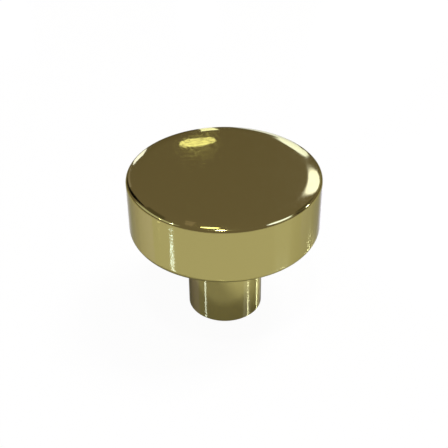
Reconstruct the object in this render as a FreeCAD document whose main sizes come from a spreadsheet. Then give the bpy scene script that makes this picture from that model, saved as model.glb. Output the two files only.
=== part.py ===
"""Cabinet knob: a flat round head on a plain round stem, turned in one piece from solid brass bar.

The origin is the centre of the base, which seats on the door or drawer front. +Z runs up the turning
axis to the top of the head. Lengths are in millimetres and angles in degrees.
"""
import FreeCAD, Part
import math
import os
from Sketcher import Constraint

# A sketch's names for the ends and centre of a line or arc, and for its own origin
START, END, CENTRE = 1, 2, 3
ORIGIN = (-1, 1)

doc = FreeCAD.newDocument("CabinetKnob")

# Driving dimensions: alias, value, what it measures
DRIVING_SIZES = [
    ("head_diameter", 30.0, "outside of the head"),
    ("head_thickness", 10.0, "underside of the head to its flat top"),
    ("stem_diameter", 12.0, "outside of the stem"),
    ("stem_length", 15.0, "base to the underside of the head"),
    ("crown_width", 2.0, "band inside the rim where buffing rounded the flat top down"),
    ("crown_angle", 16.0, "slope of the crown where it meets the rim"),
    ("rim_radius", 0.6, "tight round between the crown and the wall of the head"),
    ("underside_radius", 1.2, "round between the wall of the head and its underside"),
    ("neck_radius", 0.4, "tool nose radius left where the stem meets the head"),
    ("base_chamfer", 0.2, "broken edge around the base"),
    ("thread_diameter", 4.0, "major diameter of the screw thread"),
    ("thread_pitch", 0.7, "coarse pitch of the screw thread"),
    ("thread_depth", 10.0, "full thread, from the base"),
    ("tap_runout", 2.0, "drilled depth past the full thread"),
    ("drill_point_angle", 118.0, "cone left by the drill at the bottom of the hole"),
    ("mouth_clearance", 0.4, "how much wider the countersunk mouth is than the thread"),
    ("mouth_angle", 90.0, "angle of the countersunk mouth"),
]

# Sizes that follow from the driving ones
DERIVED_SIZES = [
    ("head_radius", "=head_diameter / 2", "wall of the head from the axis"),
    ("stem_radius", "=stem_diameter / 2", "wall of the stem from the axis"),
    ("projection", "=stem_length + head_thickness", "base to the flat top"),
    ("drill_diameter", "=thread_diameter - thread_pitch", "tapping drill"),
    ("drill_depth", "=thread_depth + tap_runout", "full diameter of the drilled hole"),
    ("mouth_diameter", "=thread_diameter + mouth_clearance", "countersunk mouth"),
]

sizes = doc.addObject("Spreadsheet::Sheet", "Sizes")
for row, (alias, value, meaning) in enumerate(DRIVING_SIZES + DERIVED_SIZES, start=1):
    sizes.set(f"A{row}", alias)
    sizes.set(f"B{row}", str(value))
    sizes.set(f"C{row}", meaning)
    sizes.setAlias(f"B{row}", alias)
doc.recompute()


def origin_plane(body, role):
    """One of the body's own origin planes, by its role."""
    return next(feature for feature in body.Origin.OriginFeatures if feature.Role == role)


def plane_sketch(body, name, role):
    """An empty sketch that lies on one of the body's origin planes."""
    sketch = body.newObject("Sketcher::SketchObject", name)
    sketch.AttachmentSupport = (origin_plane(body, role), "")
    sketch.MapMode = "FlatFace"
    return sketch


def drive(sketch, constraint, alias):
    """Add a named dimension to a sketch and bind it to a cell of the sheet."""
    index = sketch.addConstraint(constraint)
    sketch.renameConstraint(index, alias)
    sketch.setExpression(f"Constraints.{alias}", f"Sizes.{alias}")


def edge_circle(shape, radius, height):
    """Name of the full circular edge with this radius at this height on the turning axis."""
    for number, edge in enumerate(shape.Edges, start=1):
        curve = edge.Curve
        if not isinstance(curve, Part.Circle):
            continue
        if abs(curve.Radius - radius) < 1e-6 and abs(curve.Center.z - height) < 1e-6:
            return f"Edge{number}"
    raise ValueError(f"no circular edge of radius {radius} at height {height}")


def add_line(sketch, start, end):
    """A straight line in a sketch, from one (x, y) point to the next."""
    return sketch.addGeometry(Part.LineSegment(FreeCAD.Vector(*start, 0), FreeCAD.Vector(*end, 0)))


def add_arc(sketch, centre, radius, first_angle, last_angle):
    """A circular arc in a sketch, anticlockwise between two angles in radians."""
    circle = Part.Circle(FreeCAD.Vector(*centre, 0), FreeCAD.Vector(0, 0, 1), radius)
    return sketch.addGeometry(Part.ArcOfCircle(circle, first_angle, last_angle))


def knob_profile(body):
    """Half section of the turning, from the base up to the crown and back to the axis."""
    sketch = plane_sketch(body, "Profile", "XZ_Plane")
    stem = sizes.stem_radius
    head = sizes.head_radius
    under = sizes.stem_length
    top = sizes.projection
    rim = sizes.rim_radius
    slope = math.radians(sizes.crown_angle)
    crown = sizes.crown_width / math.sin(slope)

    # The rim arc and the crown arc meet where both slope down by the crown angle
    crown_start = head - rim * (1 - math.sin(slope)) - sizes.crown_width
    crown_centre = (crown_start, top - crown)
    rim_centre = (head - rim, top - crown + (crown - rim) * math.cos(slope))
    meeting_angle = math.pi / 2 - slope

    base = add_line(sketch, (0, 0), (stem, 0))
    stem_wall = add_line(sketch, (stem, 0), (stem, under))
    underside = add_line(sketch, (stem, under), (head, under))
    head_wall = add_line(sketch, (head, under), (head, rim_centre[1]))
    rim_arc = add_arc(sketch, rim_centre, rim, 0, meeting_angle)
    crown_arc = add_arc(sketch, crown_centre, crown, meeting_angle, math.pi / 2)
    flat_top = add_line(sketch, (crown_start, top), (0, top))
    axis = add_line(sketch, (0, top), (0, 0))

    sketch.addConstraint([
        Constraint("Coincident", base, START, *ORIGIN),
        Constraint("Coincident", base, END, stem_wall, START),
        Constraint("Coincident", stem_wall, END, underside, START),
        Constraint("Coincident", underside, END, head_wall, START),
        Constraint("Tangent", head_wall, END, rim_arc, START),
        Constraint("Tangent", rim_arc, END, crown_arc, START),
        Constraint("Tangent", crown_arc, END, flat_top, START),
        Constraint("Coincident", flat_top, END, axis, START),
        Constraint("Coincident", axis, END, *ORIGIN),
        Constraint("Horizontal", base),
        Constraint("Vertical", stem_wall),
        Constraint("Horizontal", underside),
        Constraint("Vertical", head_wall),
        Constraint("Horizontal", flat_top),
        Constraint("Vertical", axis),
    ])
    drive(sketch, Constraint("DistanceX", *ORIGIN, base, END, stem), "stem_radius")
    drive(sketch, Constraint("DistanceY", *ORIGIN, stem_wall, END, under), "stem_length")
    drive(sketch, Constraint("DistanceX", *ORIGIN, underside, END, head), "head_radius")
    drive(sketch, Constraint("DistanceY", *ORIGIN, flat_top, START, top), "projection")
    drive(sketch, Constraint("Radius", rim_arc, rim), "rim_radius")
    drive(sketch, Constraint("DistanceX", crown_arc, END, crown_arc, START, sizes.crown_width),
          "crown_width")
    drive(sketch, Constraint("Angle", crown_arc, slope), "crown_angle")
    return sketch


def turned_blank(body):
    """The profile turned once round the upright axis."""
    profile = knob_profile(body)
    turning = body.newObject("PartDesign::Revolution", "Turning")
    turning.Profile = profile
    turning.ReferenceAxis = (profile, ["V_Axis"])
    turning.Angle = 360
    doc.recompute()
    return turning


def dress_edge(body, kind, name, base, radius, height, alias):
    """A fillet or chamfer on one turned edge, sized by a cell of the sheet."""
    feature = body.newObject(f"PartDesign::{kind}", name)
    feature.Base = (base, [edge_circle(base.Shape, radius, height)])
    feature.setExpression("Radius" if kind == "Fillet" else "Size", f"Sizes.{alias}")
    doc.recompute()
    return feature


def fixing_hole(body):
    """Blind hole up from the base, drilled for the tap, with a drill point and a countersunk mouth."""
    centre = plane_sketch(body, "FixingCentre", "XY_Plane")
    drill = Part.Circle(FreeCAD.Vector(), FreeCAD.Vector(0, 0, 1), sizes.drill_diameter / 2)
    circle = centre.addGeometry(drill)
    centre.addConstraint(Constraint("Coincident", circle, CENTRE, *ORIGIN))
    drive(centre, Constraint("Diameter", circle, sizes.drill_diameter), "drill_diameter")
    doc.recompute()

    hole = body.newObject("PartDesign::Hole", "FixingHole")
    hole.Profile = centre
    hole.Reversed = True
    hole.ThreadType = "None"
    hole.DepthType = "Dimension"
    hole.DrillPoint = "Angled"
    hole.DrillForDepth = False
    hole.HoleCutType = "Countersink"
    hole.HoleCutCustomValues = True
    hole.setExpression("Diameter", "Sizes.drill_diameter")
    hole.setExpression("Depth", "Sizes.drill_depth")
    hole.setExpression("DrillPointAngle", "Sizes.drill_point_angle")
    hole.setExpression("HoleCutDiameter", "Sizes.mouth_diameter")
    hole.setExpression("HoleCutCountersinkAngle", "Sizes.mouth_angle")
    doc.recompute()
    return hole


def make_knob():
    """The whole knob: turned blank, then its edges, then the fixing hole."""
    body = doc.addObject("PartDesign::Body", "Knob")
    body.Label = "knob"
    body.Placement = FreeCAD.Placement()
    blank = turned_blank(body)
    neck = dress_edge(body, "Fillet", "Neck", blank, sizes.stem_radius, sizes.stem_length,
                      "neck_radius")
    underside = dress_edge(body, "Fillet", "UndersideRound", neck, sizes.head_radius,
                           sizes.stem_length, "underside_radius")
    edged = dress_edge(body, "Chamfer", "BaseEdge", underside, sizes.stem_radius, 0, "base_chamfer")
    hole = fixing_hole(body)
    drilled = math.pi / 4 * sizes.drill_diameter ** 2 * sizes.drill_depth
    if edged.Shape.Volume - hole.Shape.Volume < drilled:
        raise RuntimeError("the fixing hole does not cut the base")
    return body


def check_and_write(bodies):
    """Stop on any failed object or bad solid, then write one STEP file for each sub-part."""
    for item in doc.Objects:
        if "Invalid" in item.State or "Error" in item.State:
            raise RuntimeError(f"{item.Name} failed: {item.State}")
    os.makedirs("parts", exist_ok=True)
    for body in bodies:
        shape = body.Shape
        if shape.isNull() or not shape.isValid() or len(shape.Solids) != 1:
            raise RuntimeError(f"{body.Label} is not one valid solid")
        shape.exportStep(f"parts/{body.Label}.step")
        box = shape.optimalBoundingBox(False, False)
        print(f"{body.Label}: {box.XLength:.2f} x {box.YLength:.2f} x {box.ZLength:.2f} mm,"
              f" {shape.Volume:.0f} cubic mm")


knob = make_knob()
check_and_write([knob])
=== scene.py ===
"""Cabinet knob: the turned and polished brass piece, and the pale studio that it stands in.

Everything is in metres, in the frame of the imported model: the origin is the centre of the base, and
+Z runs up the turning axis to the top of the head.
"""
import math

import bpy
from mathutils import Euler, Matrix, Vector


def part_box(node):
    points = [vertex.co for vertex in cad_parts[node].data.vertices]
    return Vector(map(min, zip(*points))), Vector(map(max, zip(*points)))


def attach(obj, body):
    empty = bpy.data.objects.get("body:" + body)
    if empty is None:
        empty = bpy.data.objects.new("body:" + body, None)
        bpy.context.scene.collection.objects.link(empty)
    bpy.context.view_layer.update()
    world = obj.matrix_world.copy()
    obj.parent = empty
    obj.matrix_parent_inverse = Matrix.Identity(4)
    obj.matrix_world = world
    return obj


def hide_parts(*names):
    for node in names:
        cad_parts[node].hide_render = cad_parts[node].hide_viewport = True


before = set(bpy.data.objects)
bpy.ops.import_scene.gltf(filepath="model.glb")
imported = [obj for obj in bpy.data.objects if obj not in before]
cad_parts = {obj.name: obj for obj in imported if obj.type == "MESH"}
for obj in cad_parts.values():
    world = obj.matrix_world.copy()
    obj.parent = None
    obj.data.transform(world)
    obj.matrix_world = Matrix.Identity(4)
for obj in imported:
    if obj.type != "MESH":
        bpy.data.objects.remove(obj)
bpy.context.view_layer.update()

MM = 0.001

# The turning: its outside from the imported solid's box, then the sizes of its edges
knob_low, knob_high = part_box("knob")
TOP = knob_high.z
HEAD_RADIUS = (knob_high.x - knob_low.x) / 2
STEM_RADIUS = 6 * MM
STEM_LENGTH = 15 * MM
CROWN_WIDTH = 2 * MM
CROWN_SLOPE = math.radians(16)
RIM_RADIUS = 0.6 * MM
UNDERSIDE_RADIUS = 1.2 * MM
NECK_RADIUS = 0.4 * MM
BASE_CHAMFER = 0.2 * MM

# The fixing hole, with its countersunk mouth and drill point
DRILL_RADIUS = 1.65 * MM
DRILL_DEPTH = 12 * MM
DRILL_POINT = math.radians(118)
MOUTH_RADIUS = 2.2 * MM

# The M4 x 0.7 screw thread, and the tool that cuts it, which starts a little inside the drilled wall
THREAD_RADIUS = 2 * MM
THREAD_PITCH = 0.7 * MM
THREAD_FLANK = math.radians(30)
THREAD_TURNS = 15
TOOL_HEEL = 1.5 * MM
TOOL_STEPS = 64

# Sides of every turned ring, and the rings in each round
SIDES = 256
NECK_STEPS = 8
UNDERSIDE_STEPS = 20
RIM_STEPS = 24
CROWN_STEPS = 32

# Rings that only break up the plain stretches: radii on the base, the underside and the top, and
# heights in mm on the stem and the wall. GUARD is how near to a round a ring keeps the flat true.
BASE_RING = 4 * MM
UNDERSIDE_RING = 10 * MM
TOP_RING = 8 * MM
STEM_HEIGHTS = (2, 4, 6, 8, 10, 12, 14)
WALL_HEIGHTS = (18, 20, 22)
GUARD = 0.1 * MM

# The last small rings before the top and the drill point close on the axis
TOP_POLE = 3 * MM
DRILL_POLE = 0.3 * MM


# Turning the blank

def deselect_everything():
    """An operator acts on all that is selected, so nothing is left selected from before."""
    bpy.ops.object.select_all(action="DESELECT")


def round_corner(centre, radius, first, last, steps):
    """Rings of a rounded corner, as (radius, height), between two angles up from the horizontal."""
    rings = []
    for step in range(1, steps + 1):
        angle = first + (last - first) * step / steps
        rings.append((centre[0] + radius * math.cos(angle), centre[1] + radius * math.sin(angle)))
    return rings


def outside_rings():
    """Rings from the mouth of the hole out over the base, up the stem and round the head.

    The flat top falls away in a wide shallow crown, as buffing leaves it, before the tight rim.
    """
    quarter = math.pi / 2
    crown = CROWN_WIDTH / math.sin(CROWN_SLOPE)
    crown_start = HEAD_RADIUS - RIM_RADIUS * (1 - math.sin(CROWN_SLOPE)) - CROWN_WIDTH
    crown_centre = (crown_start, TOP - crown)
    rim_centre = (HEAD_RADIUS - RIM_RADIUS,
                  TOP - crown + (crown - RIM_RADIUS) * math.cos(CROWN_SLOPE))
    rings = [(BASE_RING, 0), (STEM_RADIUS - 1.5 * BASE_CHAMFER, 0), (STEM_RADIUS - BASE_CHAMFER, 0)]
    rings += [(STEM_RADIUS, BASE_CHAMFER), (STEM_RADIUS, 2 * BASE_CHAMFER)]
    rings += [(STEM_RADIUS, height * MM) for height in STEM_HEIGHTS]
    rings += [(STEM_RADIUS, STEM_LENGTH - 1.2 * NECK_RADIUS), (STEM_RADIUS, STEM_LENGTH - NECK_RADIUS)]
    rings += round_corner((STEM_RADIUS + NECK_RADIUS, STEM_LENGTH - NECK_RADIUS), NECK_RADIUS,
                          2 * quarter, quarter, NECK_STEPS)
    rings += [(STEM_RADIUS + 1.3 * NECK_RADIUS, STEM_LENGTH), (UNDERSIDE_RING, STEM_LENGTH)]
    rings += [(HEAD_RADIUS - UNDERSIDE_RADIUS - GUARD, STEM_LENGTH)]
    rings += [(HEAD_RADIUS - UNDERSIDE_RADIUS, STEM_LENGTH)]
    rings += round_corner((HEAD_RADIUS - UNDERSIDE_RADIUS, STEM_LENGTH + UNDERSIDE_RADIUS),
                          UNDERSIDE_RADIUS, -quarter, 0, UNDERSIDE_STEPS)
    rings += [(HEAD_RADIUS, STEM_LENGTH + UNDERSIDE_RADIUS + GUARD)]
    rings += [(HEAD_RADIUS, height * MM) for height in WALL_HEIGHTS]
    rings += [(HEAD_RADIUS, rim_centre[1] - GUARD), (HEAD_RADIUS, rim_centre[1])]
    rings += round_corner(rim_centre, RIM_RADIUS, 0, quarter - CROWN_SLOPE, RIM_STEPS)
    rings += round_corner(crown_centre, crown, quarter - CROWN_SLOPE, quarter, CROWN_STEPS)
    rings += [(crown_start - 1.5 * GUARD, TOP), (TOP_RING, TOP), (TOP_POLE, TOP)]
    return rings


def hole_rings():
    """Rings from the mouth of the hole up its wall to the drill point."""
    point_rise = (DRILL_RADIUS - DRILL_POLE) / math.tan(DRILL_POINT / 2)
    return [(DRILL_RADIUS, MOUTH_RADIUS - DRILL_RADIUS), (DRILL_RADIUS, DRILL_DEPTH),
            (DRILL_POLE, DRILL_DEPTH + point_rise)]


def select_ring(piece, radius, height):
    """Select only the ring of edges that has this radius at this height."""
    bpy.ops.mesh.select_all(action="DESELECT")
    bpy.ops.object.mode_set(mode="OBJECT")
    for vertex in piece.data.vertices:
        away = math.hypot(vertex.co.x, vertex.co.y)
        vertex.select = abs(away - radius) < 1e-6 and abs(vertex.co.z - height) < 1e-6
    bpy.ops.object.mode_set(mode="EDIT")
    bpy.ops.mesh.select_mode(type="VERT")
    bpy.ops.mesh.select_mode(type="EDGE")


def turn_rings(start, rings):
    """Carry the selected ring on through the rings of a profile, as a lathe tool would."""
    radius, height = start
    for next_radius, next_height in rings:
        rise = (0, 0, next_height - height)
        grow = next_radius / radius
        bpy.ops.mesh.extrude_edges_move(TRANSFORM_OT_translate={"value": rise})
        bpy.ops.transform.resize(value=(grow, grow, 1), center_override=(0, 0, next_height))
        radius, height = next_radius, next_height


def close_pole(rise):
    """Carry a last small ring on to one point on the axis, this much higher."""
    bpy.ops.mesh.extrude_edges_move(TRANSFORM_OT_translate={"value": (0, 0, rise)})
    bpy.ops.mesh.merge(type="CENTER")


def turned_blank():
    """The knob before tapping: rings turned up from the mouth of the hole, inside and out."""
    deselect_everything()
    bpy.ops.mesh.primitive_circle_add(vertices=SIDES, radius=MOUTH_RADIUS, enter_editmode=True)
    blank = bpy.context.object
    blank.name = "brass_knob"
    turn_rings((MOUTH_RADIUS, 0), outside_rings())
    close_pole(0)
    select_ring(blank, MOUTH_RADIUS, 0)
    turn_rings((MOUTH_RADIUS, 0), hole_rings())
    close_pole(DRILL_POLE / math.tan(DRILL_POINT / 2))
    bpy.ops.mesh.select_all(action="SELECT")
    bpy.ops.mesh.normals_make_consistent(inside=False)
    bpy.ops.object.mode_set(mode="OBJECT")
    return blank


def tap(piece):
    """Cut the screw thread: a V tool is screwed up the hole, closed at both ends and cut away."""
    deselect_everything()
    bpy.ops.mesh.primitive_plane_add(size=1, location=(0, 0, 0))
    tool = bpy.context.object
    # It starts one pitch below the base. The root of the thread is flat for an eighth of the pitch,
    # half of that each side of the tool's middle.
    start = -THREAD_PITCH
    tip = THREAD_PITCH / 16
    heel = tip + (THREAD_RADIUS - TOOL_HEEL) * math.tan(THREAD_FLANK)
    corners = [(TOOL_HEEL, start - heel), (THREAD_RADIUS, start - tip),
               (THREAD_RADIUS, start + tip), (TOOL_HEEL, start + heel)]
    order = sorted(tool.data.vertices, key=lambda v: math.atan2(v.co.y, v.co.x))
    for vertex, (reach, height) in zip(order, corners):
        vertex.co = (reach, 0, height)
    screw = tool.modifiers.new("Lead", "SCREW")
    screw.axis = "Z"
    screw.screw_offset = THREAD_PITCH
    screw.iterations = THREAD_TURNS
    screw.steps = TOOL_STEPS
    screw.render_steps = TOOL_STEPS
    screw.use_merge_vertices = False
    bpy.ops.object.modifier_apply(modifier=screw.name)
    bpy.ops.object.mode_set(mode="EDIT")
    bpy.ops.mesh.select_all(action="SELECT")
    bpy.ops.mesh.fill_holes(sides=4)
    bpy.ops.mesh.select_all(action="SELECT")
    bpy.ops.mesh.normals_make_consistent(inside=False)
    bpy.ops.object.mode_set(mode="OBJECT")
    deselect_everything()
    piece.select_set(True)
    bpy.context.view_layer.objects.active = piece
    cut = piece.modifiers.new("Tap", "BOOLEAN")
    cut.operation = "DIFFERENCE"
    cut.solver = "EXACT"
    cut.object = tool
    bpy.ops.object.modifier_apply(modifier=cut.name)
    bpy.data.objects.remove(tool)


# Materials

def linear(hex_colour):
    """An sRGB hex colour as linear RGBA."""
    channels = [int(hex_colour[i:i + 2], 16) / 255 for i in (1, 3, 5)]
    return [c / 12.92 if c <= 0.04045 else ((c + 0.055) / 1.055) ** 2.4 for c in channels] + [1]


def add_node(tree, kind, settings=None, **inputs):
    """Add one node: its settings, then for each input a value or the output that feeds it.

    An input goes by its name, with underscores for spaces, or by its number, as in i0.
    """
    node = tree.nodes.new(kind)
    for name, value in (settings or {}).items():
        setattr(node, name, value)
    for name, value in inputs.items():
        key = int(name[1:]) if name[0] == "i" and name[1:].isdigit() else name.replace("_", " ")
        socket = node.inputs[key]
        if isinstance(value, bpy.types.NodeSocket):
            tree.links.new(value, socket)
        else:
            socket.default_value = value
    return node


def new_material(name):
    """An empty node material and its output."""
    material = bpy.data.materials.new(name)
    material.use_nodes = True
    material.node_tree.nodes.clear()
    output = material.node_tree.nodes.new("ShaderNodeOutputMaterial")
    return material, material.node_tree, output


# Brass seen straight on, and the paler tint that it takes where it is seen edge on
BRASS = linear("#a39c61")
BRASS_EDGE = linear("#bbbab2")

# Lathe rings. Real feed marks are about 0.1 mm apart, too fine to show, so these are drawn 0.7 mm
# apart. They wander by up to a turn, over about 1.7 mm of height, so that no two are alike.
RING_PITCH = 0.7 * MM
RING_WANDER = 7.0
RING_WANDER_SCALE = 600.0
RING_DEPTH = 0.001 * MM

# Ripple of hand buffing: shallow hollows about 0.6 mm across, which fray the edge of a lamp's image
RIPPLE_SCALE = 1.6 / MM
RIPPLE_DEPTH = 0.0004 * MM

# Hairlines, each family by its direction in degrees, its length in mm and its width in mm. Real ones
# are about 0.01 mm wide, too fine to show, so these are drawn up to eight times as wide.
HAIRLINES = ((17, 2.0, 0.08), (71, 1.6, 0.07), (118, 2.4, 0.08), (155, 1.8, 0.07))
HAIR_GRAIN_HEIGHT = 4 * MM
HAIR_DEPTH = 0.00035 * MM

# Only the peaks of the grain are hairs, so they are sparse: from this level up to full at that one
HAIR_FROM = 0.71
HAIR_FULL = 0.81

# Depths below the flat top at which the hairlines end and at which all of them show
HAIRS_END = 0.8 * MM
HAIRS_ALL = 0.2 * MM

# The duller share of the surface: a little of it all over, and more along each hairline
HAZE_SHARE = 0.038
HAZE_ON_HAIRS = 0.45


def turning_lines(tree, position):
    """Height of the shallow rings that the lathe tool left round the stem and the wall."""
    wander = add_node(tree, "ShaderNodeTexNoise", {"noise_dimensions": "1D"}, W=position.outputs["Z"],
                      Scale=RING_WANDER_SCALE, Detail=1.0)
    turns = add_node(tree, "ShaderNodeMath", {"operation": "MULTIPLY"},
                     i0=position.outputs["Z"], i1=math.tau / RING_PITCH)
    shifted = add_node(tree, "ShaderNodeMath", {"operation": "MULTIPLY_ADD"},
                       i0=wander.outputs[0], i1=RING_WANDER, i2=turns.outputs[0])
    return add_node(tree, "ShaderNodeMath", {"operation": "SINE"}, i0=shifted.outputs[0])


def buffing_scratches(tree, coords, position):
    """Height of the hairlines that buffing left on the top: short, thin, and crossing."""
    total = None
    for turn, long, fine in HAIRLINES:
        turned = add_node(tree, "ShaderNodeMapping", {"vector_type": "TEXTURE"},
                          Vector=coords.outputs["Object"], Rotation=(0, 0, math.radians(turn)),
                          Scale=(long * MM, fine * MM, HAIR_GRAIN_HEIGHT))
        grain = add_node(tree, "ShaderNodeTexNoise", Vector=turned.outputs[0], Scale=1.0, Detail=0.0)
        hair = add_node(tree, "ShaderNodeMapRange", Value=grain.outputs[0], i1=HAIR_FROM,
                        i2=HAIR_FULL, i3=0.0, i4=1.0)
        if total is None:
            total = hair
        else:
            total = add_node(tree, "ShaderNodeMath", {"operation": "MAXIMUM"},
                             i0=total.outputs[0], i1=hair.outputs[0])
    on_top = add_node(tree, "ShaderNodeMapRange", Value=position.outputs["Z"], i1=TOP - HAIRS_END,
                      i2=TOP - HAIRS_ALL, i3=0.0, i4=1.0)
    return add_node(tree, "ShaderNodeMath", {"operation": "MULTIPLY"}, i0=total.outputs[0],
                    i1=on_top.outputs[0])


def polished_turned_brass():
    """Solid brass, turned on a lathe and buffed by hand.

    The eye gets a clean yellow mirror. Faint rings break the streaks on stem and wall, a slight ripple
    frays the lamp's image on the top, and a thin haze with sparse hairlines glows round it.
    """
    material, tree, output = new_material("polished_turned_brass")
    coords = add_node(tree, "ShaderNodeTexCoord")
    position = add_node(tree, "ShaderNodeSeparateXYZ", Vector=coords.outputs["Object"])
    lines = turning_lines(tree, position)
    turned = add_node(tree, "ShaderNodeBump", Strength=1.0, Distance=RING_DEPTH,
                      Height=lines.outputs[0])
    ripple = add_node(tree, "ShaderNodeTexNoise", Vector=coords.outputs["Object"], Scale=RIPPLE_SCALE,
                      Detail=1.0)
    buffed = add_node(tree, "ShaderNodeBump", Strength=1.0, Distance=RIPPLE_DEPTH,
                      Height=ripple.outputs[0], Normal=turned.outputs[0])
    hairs = buffing_scratches(tree, coords, position)
    scratched = add_node(tree, "ShaderNodeBump", Strength=1.0, Distance=HAIR_DEPTH,
                         Height=hairs.outputs[0], Normal=buffed.outputs[0])
    mirror = add_node(tree, "ShaderNodeBsdfPrincipled", Base_Color=BRASS, Metallic=1.0,
                      Roughness=0.015, Specular_Tint=BRASS_EDGE, Normal=scratched.outputs[0])
    haze = add_node(tree, "ShaderNodeBsdfPrincipled", Base_Color=BRASS, Metallic=1.0,
                    Roughness=0.22, Specular_Tint=BRASS_EDGE)
    dulled = add_node(tree, "ShaderNodeMath", {"operation": "MULTIPLY_ADD"}, i0=hairs.outputs[0],
                      i1=HAZE_ON_HAIRS, i2=HAZE_SHARE)
    mixed = add_node(tree, "ShaderNodeMixShader", Fac=dulled.outputs[0], i1=mirror.outputs[0],
                     i2=haze.outputs[0])
    tree.links.new(mixed.outputs[0], output.inputs["Surface"])
    return material


# How much of the board is plain white to the camera, so that only a faint shadow is left, and to
# gloss, which in the photograph mirrors a dim room
WHITE_TO_CAMERA = 0.96
WHITE_IN_METAL = 0.12


def white_board():
    """Smooth coated board: white to the eye, with the knob's faint shadow and a soft gloss."""
    material, tree, output = new_material("white_board")
    path = add_node(tree, "ShaderNodeLightPath")
    seen_in_metal = add_node(tree, "ShaderNodeMath", {"operation": "MAXIMUM"},
                             i0=path.outputs["Is Glossy Ray"], i1=path.outputs["Is Transmission Ray"])
    metal_share = add_node(tree, "ShaderNodeMath", {"operation": "MULTIPLY"},
                           i0=seen_in_metal.outputs[0], i1=WHITE_IN_METAL)
    share = add_node(tree, "ShaderNodeMath", {"operation": "MULTIPLY_ADD"},
                     i0=path.outputs["Is Camera Ray"], i1=WHITE_TO_CAMERA,
                     i2=metal_share.outputs[0])
    board = add_node(tree, "ShaderNodeBsdfPrincipled", Base_Color=linear("#efefee"),
                     Roughness=0.08, IOR=1.5)
    bright = add_node(tree, "ShaderNodeEmission", Color=(1, 1, 1, 1), Strength=1.0)
    mixed = add_node(tree, "ShaderNodeMixShader", Fac=share.outputs[0], i1=board.outputs[0],
                     i2=bright.outputs[0])
    tree.links.new(mixed.outputs[0], output.inputs["Surface"])
    return material


# Studio

# Lamps and cards are placed as the knob's head sees them, and lamps stand this far from it, in metres
AIM = Vector((0, 0, 0.02))
REACH = 1.2

# The dim room that the metal mirrors
ROOM = (0.335, 0.275, 0.262, 1)

# How a card thins out across its border
CARD_FADE = 2.5

# The board: its width, and its drop below the base, in metres, so that the two faces never meet
BOARD_SIZE = 12
BOARD_DROP = 0.00005

# The photograph's camera, fitted to the outline of the head and stem. Angles are in degrees.
FRAME_PIXELS = 448
FOCAL_PIXELS = 868.95
SENSOR = 36
CAMERA_ELEVATION = 35.311
CAMERA_ROLL = -0.515
CAMERA_AWAY = 137.75 * MM
CAMERA_TARGET = Vector((-0.084 * MM, 0, 15.294 * MM))


def heading(azimuth, elevation):
    """Unit vector at an azimuth from +Y towards +X and an elevation, in degrees."""
    a, e = math.radians(azimuth), math.radians(elevation)
    return Vector((math.sin(a) * math.cos(e), math.cos(a) * math.cos(e), math.sin(e)))


def lamp(name, azimuth, elevation, wide, tall, radiance, colour=(1, 1, 1), roll=0,
         shape="RECTANGLE", in_metal=True, on_board=True, only_on=None):
    """A soft light seen from the knob at a heading, its width and height given in degrees.

    in_metal=False keeps it out of gloss, on_board=False keeps it off matt surfaces, and only_on keeps
    it to one object. Its brightness is that of its face, whatever its size.
    """
    data = bpy.data.lights.new(name, "AREA")
    data.shape = shape
    data.size = 2 * REACH * math.tan(math.radians(wide) / 2)
    data.size_y = 2 * REACH * math.tan(math.radians(tall) / 2)
    area = data.size * data.size_y * (math.pi / 4 if shape == "ELLIPSE" else 1)
    data.energy = radiance * math.pi * area
    data.color = colour
    light = bpy.data.objects.new(name, data)
    bpy.context.collection.objects.link(light)
    out = heading(azimuth, elevation)
    light.location = AIM + out * REACH
    light.rotation_euler = (out.to_track_quat("Z", "Y") @
                            Euler((0, 0, math.radians(roll))).to_quaternion()).to_euler()
    light.visible_camera = False
    light.visible_glossy = in_metal
    light.visible_diffuse = on_board
    if only_on:
        light.light_linking.receiver_collection = only_on


def receivers(name, lit):
    """A group that keeps a lamp to one object."""
    group = bpy.data.collections.new(name)
    group.objects.link(lit)
    return group


def card_face(name, radiance, colour):
    """The lit or black face of a studio card, which thins away to nothing across its soft border."""
    material, tree, output = new_material(name)
    core = add_node(tree, "ShaderNodeAttribute", {"attribute_name": "core"})
    fade = add_node(tree, "ShaderNodeMath", {"operation": "POWER"}, i0=core.outputs["Fac"],
                    i1=CARD_FADE)
    clear = add_node(tree, "ShaderNodeBsdfTransparent")
    face = add_node(tree, "ShaderNodeEmission", Color=(*colour, 1), Strength=radiance)
    mixed = add_node(tree, "ShaderNodeMixShader", Fac=fade.outputs[0], i1=clear.outputs[0],
                     i2=face.outputs[0])
    tree.links.new(mixed.outputs[0], output.inputs["Surface"])
    return material


def card(name, corners, radiance, colour=(1, 1, 1), soft=2, away=1.5):
    """A flat studio card that only gloss shows, each corner given by its azimuth and elevation.

    Its soft border is in degrees, and away is its distance in metres. A nearer card covers one that
    stands behind it.
    """
    deselect_everything()
    bpy.ops.mesh.primitive_circle_add(vertices=len(corners), radius=0.1, fill_type="NGON")
    panel = bpy.context.object
    panel.name = name
    middle = sum((heading(*corner) for corner in corners), Vector()).normalized()
    for vertex, corner in zip(panel.data.vertices, corners):
        out = heading(*corner)
        vertex.co = AIM + out * away / out.dot(middle)
    bpy.ops.object.mode_set(mode="EDIT")
    bpy.ops.mesh.select_all(action="SELECT")
    bpy.ops.mesh.inset(thickness=away * math.radians(soft))
    bpy.ops.object.mode_set(mode="OBJECT")
    # The inset leaves only the inner face selected, and that is the core
    core = panel.data.attributes.new("core", "FLOAT", "POINT")
    for vertex, value in zip(panel.data.vertices, core.data):
        value.value = 1 if vertex.select else 0
    panel.data.materials.append(card_face(name, radiance, colour))
    panel.visible_camera = False
    panel.visible_diffuse = False
    panel.visible_shadow = False


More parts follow.
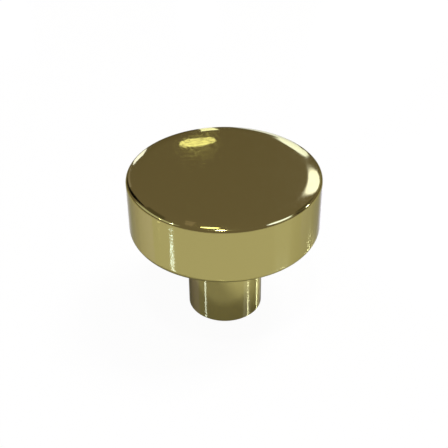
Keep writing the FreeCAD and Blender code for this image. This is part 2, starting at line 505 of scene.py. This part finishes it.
def set_cards():
    """Windows and dark cards round the knob, which only the polished metal and the gloss show."""
    # Panes of a window behind the knob, to the right, which light the far right of the crown
    card("upper_window", [(6.3, 31.7), (9.5, 36), (13.3, 38.5), (18, 39.8), (22.5, 40), (28, 39),
                          (31.2, 36), (31.8, 32), (29.5, 28), (25.5, 24.5), (21, 23.2), (17, 25),
                          (12.8, 27.4), (8.5, 29.8)], 7, (0.48, 0.5, 0.88), soft=2.5)
    card("lower_window", [(5.2, 28.8), (7, 29), (9.7, 28), (12.3, 26.4), (15, 24), (16.8, 20.3),
                          (18, 17), (17.5, 11), (7.3, 11), (7.2, 15), (6.1, 20), (5.4, 25)], 6.5,
         (0.48, 0.53, 1), soft=1.6)
    card("low_window", [(6.8, 13.5), (15.6, 13.5), (15, 8), (12.2, 3), (9.7, -4), (-1, -4), (1, 2),
                        (3.3, 8)], 6.4, (0.43, 0.47, 1), soft=1.4, away=1.6)
    # Dark cards, which draw the dark line round the left rim
    card("black_card", [(-27.5, 25), (-27.5, 37.5), (-30, 45.5), (-36, 42.5), (-46, 34),
                        (-44, 24.5)], 0, soft=1, away=1.35)
    card("dark_card", [(-28, 24), (-28, 38), (-31, 47), (-37, 43), (-50, 32), (-53, 24), (-44, 9),
                       (-33, 9), (-31, 20)], 0.09, (1, 0.8, 0.6), soft=1, away=1.4)
    card("left_dark", [(-24, 44), (-26, 54), (-45, 59), (-75, 58), (-88, 53), (-75, 48),
                       (-50, 46), (-34, 44)], 0.18, (1, 0.85, 0.7), soft=1.5, away=1.45)
    # A window to the right, with its glow, and the dark below it
    card("right_window", [(88, 42), (80, 46), (76, 50), (78, 56), (82, 63), (95, 63), (105, 61),
                          (114, 58.5), (121, 51), (123, 42), (116, 36), (100, 36), (93, 39)], 7,
         (0.45, 0.5, 1), soft=1)
    card("right_glow", [(66, 50), (62, 55), (66, 60), (76, 66), (96, 66), (112, 59), (120, 50),
                        (122, 36), (120, 22), (102, 18), (96, 26), (94, 36), (84, 42), (76, 46)],
         1.2, (0.8, 0.85, 1), away=1.6)
    card("right_dark", [(79, 10), (98, 10), (94, 26), (91, 38), (85, 42), (79, 42), (77, 26)], 0.09,
         (1, 0.8, 0.7))
    # What lies between the windows: the dark line and the faint glows along the right of the rim
    card("front_dark", [(31, 35), (32, 50), (46, 53), (62, 51), (76, 44), (72, 36), (50, 34)], 0.15,
         (1, 0.85, 0.6), away=1.7)
    card("upper_glow", [(36, 60), (38, 65), (60, 67), (76, 66), (72, 59), (52, 60)], 0.8, away=1.7)
    card("low_glow", [(27, 31), (40, 33), (48, 28), (42, 16), (34, 9), (26, 9)], 0.65, away=1.7)


def set_lamps(metal, board):
    """Lamps: some show only in the metal, some only in the gloss of the board round the knob.

    The gloss of the board is what draws the thin upright streaks on the wall and the stem.
    """
    # Seen in the metal, and lighting the board: the lamp whose image lies on the flat top comes first
    lamp("ceiling_strip", -2.18, 29.89, 2.7, 0.62, 2.8, roll=5, colour=(0.97, 1, 0.76),
         shape="ELLIPSE")
    lamp("far_strip", -2.4, 8.5, 2.3, 23, 5.5, roll=3, colour=(0.6, 0.65, 0.9))
    lamp("left_card", -17.3, 14.3, 5.2, 11.4, 7.5, colour=(0.4, 0.44, 1))
    lamp("left_glow", -24.5, 25, 2.6, 14, 0.35, roll=-17, colour=(0.65, 0.6, 1))
    lamp("warm_glow", -17, 58, 2.4, 13, 0.18, roll=-33, colour=(1, 0.8, 0.95))
    lamp("high_lamp", -10.5, 65.3, 5.8, 3.4, 8, colour=(1, 1, 0.65), shape="ELLIPSE")
    lamp("front_lamp", -174, 74, 4.5, 6, 106)
    lamp("left_wall", -90, 35, 50, 26, 0.9, colour=(0.75, 0.85, 1))
    # Out of sight of the metal, for the knob's shadow on the board
    lamp("key_softbox", 67, 66, 18, 18, 22, in_metal=False)
    # Small white sparks on the rim and the wall
    lamp("left_spark", -115.3, 37, 2.6, 4, 50, colour=(0.6, 0.7, 1), only_on=metal)
    lamp("small_left_spark", -100.5, 33.3, 2, 3, 25, only_on=metal)
    lamp("right_spark", 75.5, 22, 3.8, 6, 50, colour=(0.6, 0.68, 1), only_on=metal)
    lamp("front_spark", -168, 74, 5, 10, 30, colour=(0.8, 0.85, 1), only_on=metal)
    # Streaks down the wall and the stem
    lamp("left_line_low", -115.3, 35.1, 3.8, 1.2, 170, colour=(0.3, 0.42, 1), on_board=False,
         only_on=board)
    lamp("left_line_high", -115.3, 38.6, 4.6, 4.4, 70, colour=(0.38, 0.46, 1), on_board=False,
         only_on=board)
    lamp("small_left_line", -98.9, 31, 2.4, 2, 35, on_board=False, only_on=board)
    lamp("right_line", 102.5, 44, 4.2, 12, 60, colour=(0.6, 0.65, 1), on_board=False, only_on=board)
    lamp("front_right_line", 59.4, 38.4, 5.6, 5.6, 160, colour=(0.58, 0.64, 1), on_board=False,
         only_on=board)
    lamp("back_right_line", 42, 38, 18, 6, 17, colour=(0.8, 0.8, 1), on_board=False, only_on=board)
    # Cold light at both sides, for the paler edges of the wall and the stem
    lamp("left_sky", -66, 36, 36, 20, 4.5, colour=(0.25, 0.15, 1), on_board=False, only_on=board)
    lamp("right_sky", 62, 33, 30, 6, 3, colour=(0.03, 0.03, 1), on_board=False, only_on=board)


def set_world():
    """A dim room for the metal to mirror, behind a backdrop that is white to the camera."""
    world = bpy.data.worlds.new("dim_room")
    bpy.context.scene.world = world
    world.use_nodes = True
    tree = world.node_tree
    tree.nodes.clear()
    path = add_node(tree, "ShaderNodeLightPath")
    room = add_node(tree, "ShaderNodeBackground", Color=ROOM, Strength=1.0)
    backdrop = add_node(tree, "ShaderNodeBackground", Color=(1, 1, 1, 1), Strength=1.0)
    seen = add_node(tree, "ShaderNodeMixShader", Fac=path.outputs["Is Camera Ray"],
                    i1=room.outputs[0], i2=backdrop.outputs[0])
    output = add_node(tree, "ShaderNodeOutputWorld")
    tree.links.new(seen.outputs[0], output.inputs["Surface"])


def set_floor():
    """The white board that the knob stands on."""
    deselect_everything()
    bpy.ops.mesh.primitive_plane_add(size=BOARD_SIZE, location=(0, 0, -BOARD_DROP))
    floor = bpy.context.object
    floor.name = "paper_floor"
    floor.data.materials.append(white_board())
    return floor


def set_camera():
    """Set the photograph's camera, which looks at the front of the knob from above."""
    data = bpy.data.cameras.new("camera")
    camera = bpy.data.objects.new("camera", data)
    bpy.context.collection.objects.link(camera)
    data.sensor_width = SENSOR
    data.lens = SENSOR * FOCAL_PIXELS / FRAME_PIXELS
    elevation = math.radians(CAMERA_ELEVATION)
    back = Vector((0, -math.cos(elevation), math.sin(elevation)))
    camera.location = CAMERA_TARGET + back * CAMERA_AWAY
    roll = Euler((0, 0, math.radians(CAMERA_ROLL))).to_quaternion()
    camera.rotation_euler = (back.to_track_quat("Z", "Y") @ roll).to_euler()
    data.clip_start = 0.01
    data.clip_end = 20
    bpy.context.scene.camera = camera


# The knob stands in for its CAD node
knob = turned_blank()
tap(knob)
knob.data.materials.clear()
knob.data.materials.append(polished_turned_brass())
deselect_everything()
knob.select_set(True)
bpy.context.view_layer.objects.active = knob
bpy.ops.object.shade_smooth_by_angle(angle=math.radians(30))
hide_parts("knob")
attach(knob, "root")

# The studio round it
paper_floor = set_floor()
set_world()
set_cards()
set_lamps(receivers("metal_only", knob), receivers("board_only", paper_floor))
set_camera()
bpy.context.scene.view_settings.view_transform = "Standard"
